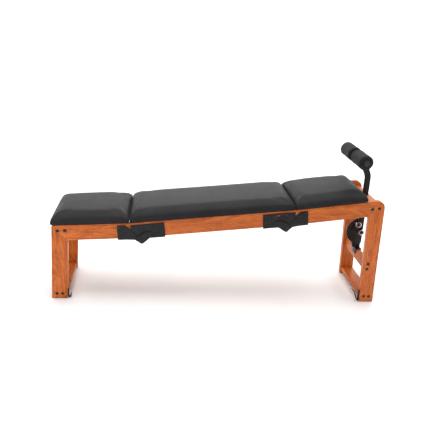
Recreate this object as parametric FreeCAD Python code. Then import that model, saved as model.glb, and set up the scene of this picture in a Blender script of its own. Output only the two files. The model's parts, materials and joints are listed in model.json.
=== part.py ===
import FreeCAD, Part
import math
import os
from FreeCAD import Vector

# Folding inclined exercise bench with foot rollers.
# Millimetres, +X from the low end to the high end, +Y to the rear side, +Z up, floor at Z = 0.
# Nearly every piece is a prism or a turned piece along Y, so shapes are drawn in the XZ plane.
# Rails, legs, plates and fasteners are drawn on the rear side (+Y) and mirrored to the front.

# Side profile: points on the top line of the rails, as (X, Z)
LOW_END = (-764.0, 371.0)
LOW_JOINT = (-430.0, 394.0)
HIGH_JOINT = (311.0, 484.5)
HIGH_END = (724.5, 548.5)
FOOT_HALF_SPAN = 780.0

# Timber frame
FRAME_HALF_WIDTH = 150.0
TIMBER = 21.0
RAIL_HEIGHT = 72.0
LEG_WIDTH = 70.0
LOW_CORNER_RADIUS = 5.0
HIGH_CORNER_RADIUS = 35.0
INNER_CORNER_RADIUS = 18.0
JOINT_GAP = 0.6
GLIDE_THICKNESS = 3.0
GLIDE_INSET = 5.0
GLIDE_SIDE_INSET = 3.0

# Cross boards: along and square to a rail's top line, or as heights above the floor
MIDDLE_BOARD_SPAN = (88.0, 148.0)
MIDDLE_BOARD_DEPTH = (-60.5, -39.5)
LOW_TOP_BOARD = (9.0, 69.0, -35.0, -14.0)
HIGH_TOP_BOARD_FROM_END = (-72.0, -14.0)
HIGH_TOP_BOARD_DEPTH = (-47.0, -26.0)
HIGH_MIDDLE_BOARD_X = (702.0, 722.0)
HIGH_MIDDLE_BOARD_Z = (178.0, 228.0)
LOW_FOOT_BOARD_HEIGHTS = (17.0, 38.0)
HIGH_FOOT_BOARD_HEIGHTS = (22.0, 43.0)
FOOT_BOARD_MARGIN = 3.0
ARM_NOTCH_X = (675.0, 775.0)
ARM_NOTCH_Z = (430.0, 630.0)
ARM_NOTCH_CLEARANCE = 3.0

# Cushions
PAD_HEIGHT = 49.0
PAD_OVERHANG = 4.5
PAD_SIDE_RADIUS = 20.0
PAD_TOP_RADIUS = 18.0
PAD_END_CLEARANCE = 1.2
LOW_PAD_END_OVERHANG = 5.0
HIGH_PAD_SETBACK = 82.0
BOARD_THICKNESS = 10.0
BOARD_INSET = 14.0
CLEAT = 14.0
CLEAT_END_GAP = 15.0
LOW_CLEAT_START = 75.0
HIGH_CLEAT_END_GAP = 20.0

# Fold hinges: distances from a rail joint, along the middle rail and up from the rail top line
PIVOT_INSET = 45.0
PIVOT_DROP = 89.0
PIVOT_RADIUS = 5.0
RUNNING_CLEARANCE = 0.05
EYE_RADIUS = 11.0
EYE_CLEARANCE = 1.3
PLATE = 4.0
PLATE_STEP = 0.5
PLATE_TOP = -8.0
PLATE_BOTTOM = -77.0
END_PLATE_LENGTH = 55.0
MIDDLE_PLATE_LENGTH = 151.0
LUG_LAYER = 5.0
PLATE_SLOT = (74.0, 84.0, -19.0)
PLATE_SLOT_HALF = 3.5
HINGE_HEAD_RADII = (8.0, 5.5)
HINGE_HEAD_HEIGHT = 3.5
HINGE_BOLT_TAIL = 6.0
HINGE_NUT_RADIUS = 9.0
HINGE_NUT_THICKNESS = 5.0
HINGE_NUT_PROUD = 0.2

# Outlines of the hinge plates, as (p, q) in a hinge's drawing frame
END_PLATE_BASE = (
    (-END_PLATE_LENGTH, PLATE_TOP),
    (-20.0, PLATE_TOP),
    (-1.0, -25.0),
    (-1.0, PLATE_BOTTOM),
    (-END_PLATE_LENGTH, PLATE_BOTTOM),
)
END_ARM_ROOT = ((-20.0, PLATE_BOTTOM), (-20.0, -30.0))
END_ARM_TOP = (0.0, -26.0)
END_ARM_UNDERSIDE = ((38.0, -99.0), (15.0, -80.0))
MIDDLE_PLATE_BASE = (
    (2.0, PLATE_TOP),
    (MIDDLE_PLATE_LENGTH, PLATE_TOP),
    (MIDDLE_PLATE_LENGTH, PLATE_BOTTOM),
    (38.0, PLATE_BOTTOM),
    (2.0, -26.6),
)
LUG_WELD = ((64.0, -47.0), (86.0, -47.0), (86.0, -70.0), (64.0, -70.0))
LUG_OUTLINE = (
    (60.0, -45.0),
    (88.0, -45.0),
    (88.0, -70.0),
    (52.0, -98.0),
    (34.0, -93.0),
    (22.0, -77.0),
    (36.0, -60.0),
)

# Fasteners
BOLT_RADIUS = 4.0
BOLT_HEAD_RADIUS = 7.5
BOLT_HEAD_HEIGHT = 4.0
BOLT_HEAD_TAPER = 0.62
SOCKET_RADIUS = 2.9
SOCKET_DEPTH = 2.2
BOLT_DEPTH_IN_BOARD = 28.0
INSERT_RADIUS = 6.0
INSERT_LENGTH = 15.0
SCREW_RADIUS = 2.4
SCREW_HEAD_RADIUS = 5.0
SCREW_HEAD_HEIGHT = 2.4
SCREW_HEAD_TAPER = 0.6
SCREW_DEPTH = 15.0
MIDDLE_BOLT = (118.0, -50.0)
MIDDLE_SCREWS = ((45.0, -17.0), (140.0, -18.0), (140.0, -66.0))
END_SCREWS = ((-45.0, -17.0), (-46.0, -55.0), (-25.0, -29.0))
LOW_TOP_BOLTS = ((23.0, -24.5), (55.0, -24.5))
HIGH_TOP_BOLTS_FROM_END = ((-59.0, -36.5), (-27.0, -36.5))
HIGH_MIDDLE_BOLTS = ((712.0, 189.0), (712.0, 217.0))
FOOT_BOLT_INSETS = (22.0, 48.0)
LOW_FOOT_BOLT_HEIGHT = 27.0
HIGH_FOOT_BOLT_HEIGHT = 32.5

# Foot roller arm: it stands on the high end's middle board and swings about ARM_PIVOT
ARM_PIVOT = (706.0, 325.0)
ARM_LEAN_DEG = 4.0
ARM_WIDTH = 29.0
ARM_THICKNESS = 6.0
ARM_STRAIGHT = 278.0
ARM_BEND_REACH = 322.0
ARM_BEND_STEPS = 10
AXLE_CENTRE = (607.0, 712.0)
DISC_RADIUS = 69.0
BRACKET_RADIUS = 63.0
BRACKET_THICKNESS = 5.0
BRACKET_GAP = 0.3
SADDLE_HALF_WIDTH = 20.0
SADDLE_SHEET = 4.0
SADDLE_LIP = 24.0
PIVOT_BOLT_RADIUS = 8.0
BUSH_RADIUS = 11.0
BOSS_RADIUS = 14.5
BOSS_CAP_RADIUS = 9.5
BOSS_REACH = 25.0
BOSS_GAP = 3.4
CLAMP_RADIUS = 5.0
CLAMP_ORBIT = 47.0
CLAMP_ANGLE = 120.0
ARM_TRAVEL = 45.0
SLOT_SLACK_DEG = 2.5
SLOT_HALF_WIDTH = 5.2
COLUMN_FOOT_SPREAD = 12.0
COLUMN_SHOULDER = 40.0
COLUMN_OVERLAP = 1.0
BRACKET_SCREWS = ((-14.0, 214.0), (14.0, 214.0))
BRACKET_SCREW_BACKSET = 3.0
PIVOT_CAP_HEIGHT = 3.0
PIVOT_BOLT_TAIL = 9.0
PIVOT_NUT_RADIUS = 13.0
PIVOT_NUT_THICKNESS = 7.0
KNOB_CAP_HEIGHT = 4.0
CLAMP_TAIL = 6.0

# Foot rollers
AXLE_RADIUS = 6.0
AXLE_HALF_LENGTH = 128.0
ROLLER_RADIUS = 34.5
ROLLER_START = 14.0
ROLLER_END = 124.0
ROLLER_EDGE_RADIUS = 4.0
ROLLER_PLAY = 0.5
CORE_RADIUS = 9.0
COLLAR_RADIUS = 16.0
PLUG_RADIUS = 13.0
PLUG_REACH = 131.0

# Folding latch
LATCH_THICKNESS = 3.6
LATCH_GAP = 0.1
LATCH_INNER_INSET = 4.0
HOOK_OUTER_INSET = 4.0
HOOK_HEIGHTS = (48.0, 12.0)
HOOK_CURL = ((5.0, -7.0), (11.0, -4.0), (13.0, 9.0))
CLIP_OUTER_INSET = 2.0
CLIP_HEIGHTS = (62.0, 8.0)
CLIP_CURL = ((-7.0, 1.0), (-14.0, 15.0), (-22.0, 32.0), (-29.0, 47.0), (-41.0, 58.0))

# Construction lengths that only need to be long enough
CUT_PAST = 1.0
BIG = 2000.0


class Section:
    """A straight run of rail: (u, v) is u along the rail top line and v square to it, upwards."""

    def __init__(self, start, end):
        self.start = start
        self.length = math.dist(start, end)
        self.along = ((end[0] - start[0]) / self.length, (end[1] - start[1]) / self.length)

    def at(self, u, v):
        return (
            self.start[0] + self.along[0] * u - self.along[1] * v,
            self.start[1] + self.along[1] * u + self.along[0] * v,
        )

    def rectangle(self, u_low, u_high, v_low, v_high):
        corners = ((u_low, v_low), (u_high, v_low), (u_high, v_high), (u_low, v_high))
        return [self.at(u, v) for u, v in corners]


class HingeSide:
    """Hinge drawing frame: p runs from the joint into the middle rail and q is up from its top line.

    Points with the end section's slope come from end_at, where p is negative on the end section.
    """

    def __init__(self, joint, into_middle, up, end_into_middle, end_up):
        self.joint = joint
        self.axes = (into_middle, up)
        self.end_axes = (end_into_middle, end_up)
        self.pivot = self.at(PIVOT_INSET, -PIVOT_DROP)

    def at(self, p, q):
        return tuple(self.joint[i] + self.axes[0][i] * p + self.axes[1][i] * q for i in range(2))

    def end_at(self, p, q):
        return tuple(self.joint[i] + self.end_axes[0][i] * p + self.end_axes[1][i] * q for i in range(2))


def upward(direction):
    """The unit vector square to a rail direction, upwards."""
    return (-direction[1], direction[0])


def reverse(direction):
    return (-direction[0], -direction[1])


def prism(points, y_low, y_high):
    corners = [Vector(x, y_low, z) for x, z in points]
    face = Part.Face(Part.makePolygon(corners + corners[:1]))
    return face.extrude(Vector(0, y_high - y_low, 0))


def rod(centre, radius, y_low, y_high):
    return Part.makeCylinder(radius, y_high - y_low, Vector(centre[0], y_low, centre[1]), Vector(0, 1, 0))


def ring(centre, inner, outer, y_low, y_high):
    return rod(centre, outer, y_low, y_high).cut(rod(centre, inner, y_low, y_high))


def hexagon(centre, radius, y_low, y_high):
    corners = [polar(centre, radius, 60 * i) for i in range(6)]
    return prism(corners, y_low, y_high)


def polar(centre, radius, degrees):
    angle = math.radians(degrees)
    return (centre[0] + radius * math.cos(angle), centre[1] + radius * math.sin(angle))


def mirrored(shape):
    return shape.mirror(Vector(0, 0, 0), Vector(0, 1, 0))


def pair(shapes):
    """The same solids on the rear and the front side."""
    return Part.makeCompound(list(shapes) + [mirrored(shape) for shape in shapes])


def cut_all(shape, tools):
    for tool in tools:
        shape = shape.cut(tool)
    return shape


def fuse_all(shapes):
    result = shapes[0].multiFuse(list(shapes[1:]))
    return result.removeSplitter()


def edges_along_y(shape, corner):
    """Edges of a prism that run along Y through an XZ corner."""
    found = []
    for edge in shape.Edges:
        ends = [vertex.Point for vertex in edge.Vertexes]
        at_corner = all(math.dist((end.x, end.z), corner) < 0.01 for end in ends)
        if len(ends) == 2 and at_corner:
            found.append(edge)
    return found


def strip(points, thickness, y_low, y_high):
    """A bent flat strip along a polyline in the XZ plane."""
    half = thickness / 2
    pieces = []
    for start, end in zip(points, points[1:]):
        run = Section(start, end)
        pieces.append(prism(run.rectangle(0, run.length, -half, half), y_low, y_high))
    for point in points:
        pieces.append(rod(point, half, y_low, y_high))
    return fuse_all(pieces)


def export(name, shape):
    shape.exportStep("parts/" + name + ".step")


def export_sides(name, rear_shape):
    export(name + "_rear", rear_shape)
    export(name + "_front", mirrored(rear_shape))


# ---- Shared places ----

low = Section(LOW_END, LOW_JOINT)
middle = Section(LOW_JOINT, HIGH_JOINT)
high = Section(HIGH_JOINT, HIGH_END)
low_hinge = HingeSide(LOW_JOINT, middle.along, upward(middle.along), low.along, upward(low.along))
high_hinge = HingeSide(
    HIGH_JOINT, reverse(middle.along), upward(middle.along), reverse(high.along), upward(high.along)
)
low_foot = (-FOOT_HALF_SPAN, 0.0)
high_foot = (FOOT_HALF_SPAN, 0.0)
rail_inside = FRAME_HALF_WIDTH - TIMBER


def leg_point(corner, foot, height, inset):
    """A point at a height above the floor, inset square to the leg's outer edge."""
    leg = Section(foot, corner)
    inward = -1 if foot[0] > 0 else 1
    side = leg.at(height / leg.along[1], 0)
    return (side[0] + inward * inset / leg.along[1], side[1])


def line_crossing(point_a, direction_a, point_b, direction_b):
    determinant = direction_a[0] * direction_b[1] - direction_a[1] * direction_b[0]
    offset = (point_b[0] - point_a[0], point_b[1] - point_a[1])
    reach = (offset[0] * direction_b[1] - offset[1] * direction_b[0]) / determinant
    return (point_a[0] + direction_a[0] * reach, point_a[1] + direction_a[1] * reach)


def joint_bottom(joint, first, second):
    """The bottom of a rail joint, which is cut along the bisector of the two rails."""
    bisector = (first.along[0] + second.along[0], first.along[1] + second.along[1])
    size = math.hypot(*bisector)
    half_turn = math.acos(size / 2)
    drop = RAIL_HEIGHT / math.cos(half_turn)
    return (joint[0] + bisector[1] / size * drop, joint[1] - bisector[0] / size * drop)


def shifted(point, direction, distance):
    return (point[0] + direction[0] * distance, point[1] + direction[1] * distance)


# ---- Fasteners ----

def frame_bolt(place, y_face):
    """Button-head bolt from the outer face at y_face into a cross board."""
    shank = rod(place, BOLT_RADIUS, rail_inside - BOLT_DEPTH_IN_BOARD, y_face)
    base = Vector(place[0], y_face, place[1])
    head = Part.makeCone(
        BOLT_HEAD_RADIUS, BOLT_HEAD_RADIUS * BOLT_HEAD_TAPER, BOLT_HEAD_HEIGHT, base, Vector(0, 1, 0)
    )
    top = y_face + BOLT_HEAD_HEIGHT
    socket = hexagon(place, SOCKET_RADIUS, top - SOCKET_DEPTH, top + CUT_PAST)
    return fuse_all([shank, head]).cut(socket)


def frame_insert(place):
    return ring(place, BOLT_RADIUS, INSERT_RADIUS, rail_inside - INSERT_LENGTH, rail_inside)


def board_bores(place):
    deep = rod(place, BOLT_RADIUS, rail_inside - BOLT_DEPTH_IN_BOARD, FRAME_HALF_WIDTH)
    wide = rod(place, INSERT_RADIUS, rail_inside - INSERT_LENGTH, FRAME_HALF_WIDTH)
    return [deep, wide, mirrored(deep), mirrored(wide)]


def plate_screw(place, y_face):
    """Wood screw with a low domed head, from the plate's outer face into the rail."""
    shank = rod(place, SCREW_RADIUS, FRAME_HALF_WIDTH - SCREW_DEPTH, y_face)
    base = Vector(place[0], y_face, place[1])
    head = Part.makeCone(
        SCREW_HEAD_RADIUS, SCREW_HEAD_RADIUS * SCREW_HEAD_TAPER, SCREW_HEAD_HEIGHT, base, Vector(0, 1, 0)
    )
    return fuse_all([shank, head])


def screw_bore(place):
    return rod(place, SCREW_RADIUS, FRAME_HALF_WIDTH - SCREW_DEPTH, FRAME_HALF_WIDTH + 2 * PLATE)


def bolt_bore(place):
    return rod(place, BOLT_RADIUS, rail_inside - CUT_PAST, FRAME_HALF_WIDTH + 2 * PLATE)


# ---- Fastener places ----

low_top_bolts = [low.at(u, v) for u, v in LOW_TOP_BOLTS]
low_foot_bolts = [leg_point(LOW_END, low_foot, LOW_FOOT_BOLT_HEIGHT, inset) for inset in FOOT_BOLT_INSETS]
high_top_bolts = [high.at(high.length + u, v) for u, v in HIGH_TOP_BOLTS_FROM_END]
high_middle_bolts = list(HIGH_MIDDLE_BOLTS)
high_foot_bolts = [
    leg_point(HIGH_END, high_foot, HIGH_FOOT_BOLT_HEIGHT, inset) for inset in FOOT_BOLT_INSETS
]
hinges = (low_hinge, high_hinge)
middle_bolts = [hinge.at(*MIDDLE_BOLT) for hinge in hinges]
middle_screws = [hinge.at(p, q) for hinge in hinges for p, q in MIDDLE_SCREWS]
low_screws = [low_hinge.end_at(p, q) for p, q in END_SCREWS]
high_screws = [high_hinge.end_at(p, q) for p, q in END_SCREWS]


# ---- Timber frames ----

def end_frame(section, corner, foot, joint, radius, bolts, screws):
    """Rail and leg of one side of an end section, mitred together at the corner."""
    outward = 1 if foot[0] > 0 else -1
    rail_top = shifted(joint, section.along, outward * JOINT_GAP / 2)
    bottom = joint_bottom(joint, section, middle)
    rail_bottom = shifted(bottom, section.along, outward * JOINT_GAP / 2)
    leg = Section(foot, corner)
    leg_inner = leg_point(corner, foot, GLIDE_THICKNESS, LEG_WIDTH)
    leg_outer = leg_point(corner, foot, GLIDE_THICKNESS, 0)
    under_rail = section.at(0, -RAIL_HEIGHT)
    inner = line_crossing(leg_inner, leg.along, under_rail, section.along)
    outline = [corner, rail_top, rail_bottom, inner, leg_inner, leg_outer]
    whole = prism(outline, rail_inside, FRAME_HALF_WIDTH)
    whole = whole.makeFillet(radius, edges_along_y(whole, corner))
    whole = whole.makeFillet(INNER_CORNER_RADIUS, edges_along_y(whole, inner))
    mitre = Section(corner, inner)
    rail_side = math.copysign(BIG, -outward)
    reach = RAIL_HEIGHT
    start = mitre.at(-reach, 0)
    end = mitre.at(mitre.length + reach, 0)
    half = prism(
        [start, end, (end[0] + rail_side, end[1]), (start[0] + rail_side, start[1] + BIG)],
        rail_inside - CUT_PAST, FRAME_HALF_WIDTH + CUT_PAST,
    )
    bores = [bolt_bore(place) for place in bolts] + [screw_bore(place) for place in screws]
    rail = cut_all(whole.common(half), bores)
    leg_solid = cut_all(whole.cut(half), bores)
    return rail, leg_solid


def middle_rail():
    low_bottom = joint_bottom(LOW_JOINT, low, middle)
    high_bottom = joint_bottom(HIGH_JOINT, middle, high)
    outline = [
        shifted(LOW_JOINT, middle.along, JOINT_GAP / 2),
        shifted(HIGH_JOINT, middle.along, -JOINT_GAP / 2),
        shifted(high_bottom, middle.along, -JOINT_GAP / 2),
        shifted(low_bottom, middle.along, JOINT_GAP / 2),
    ]
    rail = prism(outline, rail_inside, FRAME_HALF_WIDTH)
    bores = [bolt_bore(place) for place in middle_bolts] + [screw_bore(place) for place in middle_screws]
    return cut_all(rail, bores)


def cross_board(outline, bolts):
    board = prism(outline, -rail_inside, rail_inside)
    bores = [bore for place in bolts for bore in board_bores(place)]
    return cut_all(board, bores)


def foot_board(corner, foot, z_low, z_high):
    """Outline of a flat board between two feet, a little narrower than the leg."""
    far = LEG_WIDTH - FOOT_BOARD_MARGIN
    return [
        leg_point(corner, foot, z_low, FOOT_BOARD_MARGIN),
        leg_point(corner, foot, z_low, far),
        leg_point(corner, foot, z_high, far),
        leg_point(corner, foot, z_high, FOOT_BOARD_MARGIN),
    ]


def foot_glides(corner, foot):
    outer = leg_point(corner, foot, 0, GLIDE_INSET)
    inner = leg_point(corner, foot, 0, LEG_WIDTH - GLIDE_INSET)
    outline = [(outer[0], 0), (inner[0], 0), (inner[0], GLIDE_THICKNESS), (outer[0], GLIDE_THICKNESS)]
    return pair([prism(outline, rail_inside + GLIDE_SIDE_INSET, FRAME_HALF_WIDTH - GLIDE_SIDE_INSET)])


# ---- Cushions ----

def rounded_pad(section, u_low, u_high):
    """Cushion with rounded upright corners and a rounded top edge, on a recessed board."""
    half = FRAME_HALF_WIDTH + PAD_OVERHANG
    pad = Part.makeBox(u_high - u_low, 2 * half, PAD_HEIGHT, Vector(u_low, -half, 0))
    upright = [e for e in pad.Edges if abs(e.Vertexes[0].Point.z - e.Vertexes[1].Point.z) > 1]
    pad = pad.makeFillet(PAD_SIDE_RADIUS, upright)
    top = [e for e in pad.Edges if min(v.Point.z for v in e.Vertexes) > PAD_HEIGHT - 0.01]
    pad = pad.makeFillet(PAD_TOP_RADIUS, top)
    board = Part.makeBox(
        u_high - u_low - 2 * BOARD_INSET, 2 * (half - BOARD_INSET), BOARD_THICKNESS,
        Vector(u_low + BOARD_INSET, -half + BOARD_INSET, 0),
    )
    pad = pad.cut(board)
    slope = math.degrees(math.atan2(section.along[1], section.along[0]))
    for solid in (pad, board):
        solid.rotate(Vector(0, 0, 0), Vector(0, 1, 0), -slope)
        solid.translate(Vector(section.start[0], 0, section.start[1]))
    return pad, board


def pad_cleats(section, u_low, u_high):
    """Battens along the inner faces of the rails, which the cushion board is screwed to."""
    outline = section.rectangle(u_low, u_high, -CLEAT, 0)
    return pair([prism(outline, rail_inside - CLEAT, rail_inside)])


# ---- Fold hinges ----

def end_hinge_plate(hinge, screws):
    """Plate on the end rail whose arm reaches under the middle rail to the pivot."""
    y_rail = FRAME_HALF_WIDTH
    y_arm = y_rail + PLATE_STEP
    y_out = y_rail + PLATE_STEP + PLATE
    base = prism([hinge.end_at(p, q) for p, q in END_PLATE_BASE], y_rail, y_out)
    root = [hinge.end_at(p, q) for p, q in END_ARM_ROOT]
    underside = [hinge.at(p, q) for p, q in END_ARM_UNDERSIDE]
    arm = prism(root + [hinge.at(*END_ARM_TOP), hinge.pivot] + underside, y_arm, y_out)
    eye = rod(hinge.pivot, EYE_RADIUS, y_arm, y_out)
    bore = rod(hinge.pivot, PIVOT_RADIUS + RUNNING_CLEARANCE, y_rail, y_out)
    plate = fuse_all([base, arm, eye]).cut(bore)
    return cut_all(plate, [screw_bore(place) for place in screws])


def plate_slot(hinge):
    """Short adjusting slot near the plate's upper edge."""
    y_low, y_high = FRAME_HALF_WIDTH, FRAME_HALF_WIDTH + PLATE
    first, last = [hinge.at(p, PLATE_SLOT[2]) for p in PLATE_SLOT[:2]]
    run = Section(*sorted((first, last)))
    bar = prism(run.rectangle(0, run.length, -PLATE_SLOT_HALF, PLATE_SLOT_HALF), y_low, y_high)
    ends = [rod(end, PLATE_SLOT_HALF, y_low, y_high) for end in (first, last)]
    return fuse_all([bar] + ends)


def middle_hinge_plate(hinge, slotted):
    """Plate on the middle rail with a raised lug that laps the end plate's eye."""
    y_rail = FRAME_HALF_WIDTH
    base = prism([hinge.at(p, q) for p, q in MIDDLE_PLATE_BASE], y_rail, y_rail + PLATE)
    base = base.cut(rod(hinge.pivot, EYE_RADIUS + EYE_CLEARANCE, y_rail, y_rail + PLATE))
    weld = prism([hinge.at(p, q) for p, q in LUG_WELD], y_rail + PLATE, y_rail + LUG_LAYER)
    lug = prism([hinge.at(p, q) for p, q in LUG_OUTLINE], y_rail + LUG_LAYER, y_rail + LUG_LAYER + PLATE)
    eye = rod(hinge.pivot, EYE_RADIUS, y_rail + LUG_LAYER, y_rail + LUG_LAYER + PLATE)
    bore = rod(hinge.pivot, PIVOT_RADIUS, y_rail, y_rail + LUG_LAYER + PLATE)
    screws = [screw_bore(hinge.at(p, q)) for p, q in MIDDLE_SCREWS]
    if slotted:
        screws.append(plate_slot(hinge))
    bolt = bolt_bore(hinge.at(*MIDDLE_BOLT))
    return cut_all(fuse_all([base, weld, lug, eye]), [bore, bolt] + screws)


def hinge_bolt(hinge):
    y_head = FRAME_HALF_WIDTH + LUG_LAYER + PLATE
    shank = rod(hinge.pivot, PIVOT_RADIUS, FRAME_HALF_WIDTH - HINGE_BOLT_TAIL, y_head)
    base = Vector(hinge.pivot[0], y_head, hinge.pivot[1])
    head = Part.makeCone(*HINGE_HEAD_RADII, HINGE_HEAD_HEIGHT, base, Vector(0, 1, 0))
    return fuse_all([shank, head])


def hinge_nut(hinge):
    y_high = FRAME_HALF_WIDTH + HINGE_NUT_PROUD
    y_low = y_high - HINGE_NUT_THICKNESS
    nut = hexagon(hinge.pivot, HINGE_NUT_RADIUS, y_low, y_high)
    return nut.cut(rod(hinge.pivot, PIVOT_RADIUS, y_low - CUT_PAST, y_high + CUT_PAST))


# ---- Foot roller arm ----

arm_up = (-math.sin(math.radians(ARM_LEAN_DEG)), math.cos(math.radians(ARM_LEAN_DEG)))
arm_bend = shifted(ARM_PIVOT, arm_up, ARM_BEND_REACH)
arm_line = Section(ARM_PIVOT, arm_bend)
clamp_place = polar(ARM_PIVOT, CLAMP_ORBIT, CLAMP_ANGLE)


def disc_behind_arm_edge(radius, y_low, y_high):
    """The part of a disc about the arm's pivot on the cushion's side of the arm's outer edge."""
    keep = prism(arm_line.rectangle(-BIG, BIG, -ARM_WIDTH / 2, BIG), y_low, y_high)
    return rod(ARM_PIVOT, radius, y_low, y_high).common(keep)


def clamp_slot():
    """Arc slot that passes the clamp stud through the arm's whole travel."""
    first = CLAMP_ANGLE - SLOT_SLACK_DEG
    last = CLAMP_ANGLE + ARM_TRAVEL + SLOT_SLACK_DEG
    y_low, y_high = -ARM_THICKNESS, ARM_THICKNESS
    sector = prism(
        [ARM_PIVOT] + [polar(ARM_PIVOT, 2 * DISC_RADIUS, a) for a in (first, (first + last) / 2, last)],
        y_low, y_high,
    )
    band = ring(ARM_PIVOT, CLAMP_ORBIT - SLOT_HALF_WIDTH, CLAMP_ORBIT + SLOT_HALF_WIDTH, y_low, y_high)
    ends = [rod(polar(ARM_PIVOT, CLAMP_ORBIT, a), SLOT_HALF_WIDTH, y_low, y_high) for a in (first, last)]
    return fuse_all([band.common(sector)] + ends)


def arm_outline(half):
    """Outline of the bar: straight up from the pivot, then a smooth bend over to the roller axle."""
    start = shifted(ARM_PIVOT, arm_up, ARM_STRAIGHT)
    left = [arm_line.at(0, half), arm_line.at(ARM_STRAIGHT, half)]
    right = [arm_line.at(0, -half), arm_line.at(ARM_STRAIGHT, -half)]
    for step in range(1, ARM_BEND_STEPS + 1):
        t = step / ARM_BEND_STEPS
        weights = ((1 - t) ** 2, 2 * t * (1 - t), t * t)
        points = (start, arm_bend, AXLE_CENTRE)
        centre = tuple(sum(w * p[i] for w, p in zip(weights, points)) for i in range(2))
        slope = [(1 - t) * (arm_bend[i] - start[i]) + t * (AXLE_CENTRE[i] - arm_bend[i]) for i in range(2)]
        size = math.hypot(*slope)
        side = (-slope[1] / size, slope[0] / size)
        left.append(shifted(centre, side, half))
        right.append(shifted(centre, side, -half))
    return left + right[::-1]


def swing_arm():
    """Bent flat bar with a slotted half disc at its pivot and an eye for the roller axle."""
    half = ARM_WIDTH / 2
    y_low, y_high = -ARM_THICKNESS / 2, ARM_THICKNESS / 2
    pieces = [
        disc_behind_arm_edge(DISC_RADIUS, y_low, y_high),
        prism(arm_outline(half), y_low, y_high),
        rod(AXLE_CENTRE, half, y_low, y_high),
    ]
    bores = [
        rod(ARM_PIVOT, BUSH_RADIUS, y_low, y_high),
        rod(AXLE_CENTRE, AXLE_RADIUS, y_low, y_high),
        clamp_slot(),
    ]
    return cut_all(fuse_all(pieces), bores)


def arm_bracket(board_box):
    """Upright plate behind the arm on a saddle that grips the high end's middle board."""
    x_low, x_high, z_top = board_box
    y_low = ARM_THICKNESS / 2 + BRACKET_GAP
    y_high = y_low + BRACKET_THICKNESS
    z_saddle = z_top + SADDLE_SHEET
    x_out = (x_low - SADDLE_SHEET, x_high + SADDLE_SHEET)
    column = prism(
        [
            (x_out[0] - COLUMN_FOOT_SPREAD, z_saddle - COLUMN_OVERLAP),
            (x_out[1], z_saddle - COLUMN_OVERLAP),
            shifted(ARM_PIVOT, (1, 0), ARM_WIDTH / 2),
            shifted(ARM_PIVOT, (-1, 0), COLUMN_SHOULDER),
        ],
        y_low, y_high,
    )
    column_foot = prism(
        [(x_out[0], z_top), (x_out[1], z_top), (x_out[1], z_saddle), (x_out[0], z_saddle)], y_low, y_high
    )
    saddle = prism(
        [
            (x_out[0], z_top - SADDLE_LIP),
            (x_low, z_top - SADDLE_LIP),
            (x_low, z_top),
            (x_high, z_top),
            (x_high, z_top - SADDLE_LIP),
            (x_out[1], z_top - SADDLE_LIP),
            (x_out[1], z_saddle),
            (x_out[0], z_saddle),
        ],
        -SADDLE_HALF_WIDTH, SADDLE_HALF_WIDTH,
    )
    disc = disc_behind_arm_edge(BRACKET_RADIUS, y_low, y_high)
    bores = [
        rod(ARM_PIVOT, PIVOT_BOLT_RADIUS, y_low, y_high),
        rod(clamp_place, CLAMP_RADIUS + RUNNING_CLEARANCE, y_low, y_high),
    ]
    bores += [bracket_screw_bore(place, x_high) for place in BRACKET_SCREWS]
    return cut_all(fuse_all([disc, column, column_foot, saddle]), bores)


def bracket_screw_bore(place, x_high):
    y, z = place
    start = Vector(x_high - SCREW_DEPTH + BRACKET_SCREW_BACKSET, y, z)
    length = SCREW_DEPTH + SADDLE_SHEET - BRACKET_SCREW_BACKSET
    return Part.makeCylinder(SCREW_RADIUS, length, start, Vector(1, 0, 0))


def bracket_screw(place, x_high):
    y, z = place
    base = Vector(x_high + SADDLE_SHEET, y, z)
    head = Part.makeCone(
        SCREW_HEAD_RADIUS, SCREW_HEAD_RADIUS * SCREW_HEAD_TAPER, SCREW_HEAD_HEIGHT, base, Vector(1, 0, 0)
    )
    return fuse_all([bracket_screw_bore(place, x_high), head])


def export_arm(board_box):
    x_high = board_box[1]
    half = ARM_THICKNESS / 2
    y_back = half + BRACKET_GAP + BRACKET_THICKNESS
    export("swing_arm", swing_arm())
    export("arm_bush", ring(ARM_PIVOT, PIVOT_BOLT_RADIUS + RUNNING_CLEARANCE, BUSH_RADIUS, -half, half))
    export("arm_bracket", arm_bracket(board_box))
    screws = [bracket_screw(place, x_high) for place in BRACKET_SCREWS]
    export("arm_bracket_screws", Part.makeCompound(screws))
    export("arm_pivot_sleeve", ring(ARM_PIVOT, PIVOT_BOLT_RADIUS, BOSS_RADIUS, -BOSS_REACH, -BOSS_GAP))
    cap = rod(ARM_PIVOT, BOSS_CAP_RADIUS, -BOSS_REACH - PIVOT_CAP_HEIGHT, -BOSS_REACH)
    shank = rod(ARM_PIVOT, PIVOT_BOLT_RADIUS, -BOSS_REACH, y_back + PIVOT_BOLT_TAIL)
    y_nut = y_back + PIVOT_NUT_THICKNESS
    nut = hexagon(ARM_PIVOT, PIVOT_NUT_RADIUS, y_back, y_nut)
    nut = nut.cut(rod(ARM_PIVOT, PIVOT_BOLT_RADIUS, y_back, y_nut))
    export("arm_pivot_bolt", Part.makeCompound([fuse_all([cap, shank]), nut]))
    knob = rod(clamp_place, BOSS_CAP_RADIUS, -BOSS_REACH - KNOB_CAP_HEIGHT, -BOSS_GAP)
    stud = rod(clamp_place, CLAMP_RADIUS, -BOSS_GAP, y_back + CLAMP_TAIL)
    export("clamp_knob", fuse_all([knob, stud]))
    export("clamp_ring", ring(clamp_place, BOSS_CAP_RADIUS, BOSS_RADIUS, -BOSS_REACH, -BOSS_GAP))


# ---- Foot rollers ----

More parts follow.
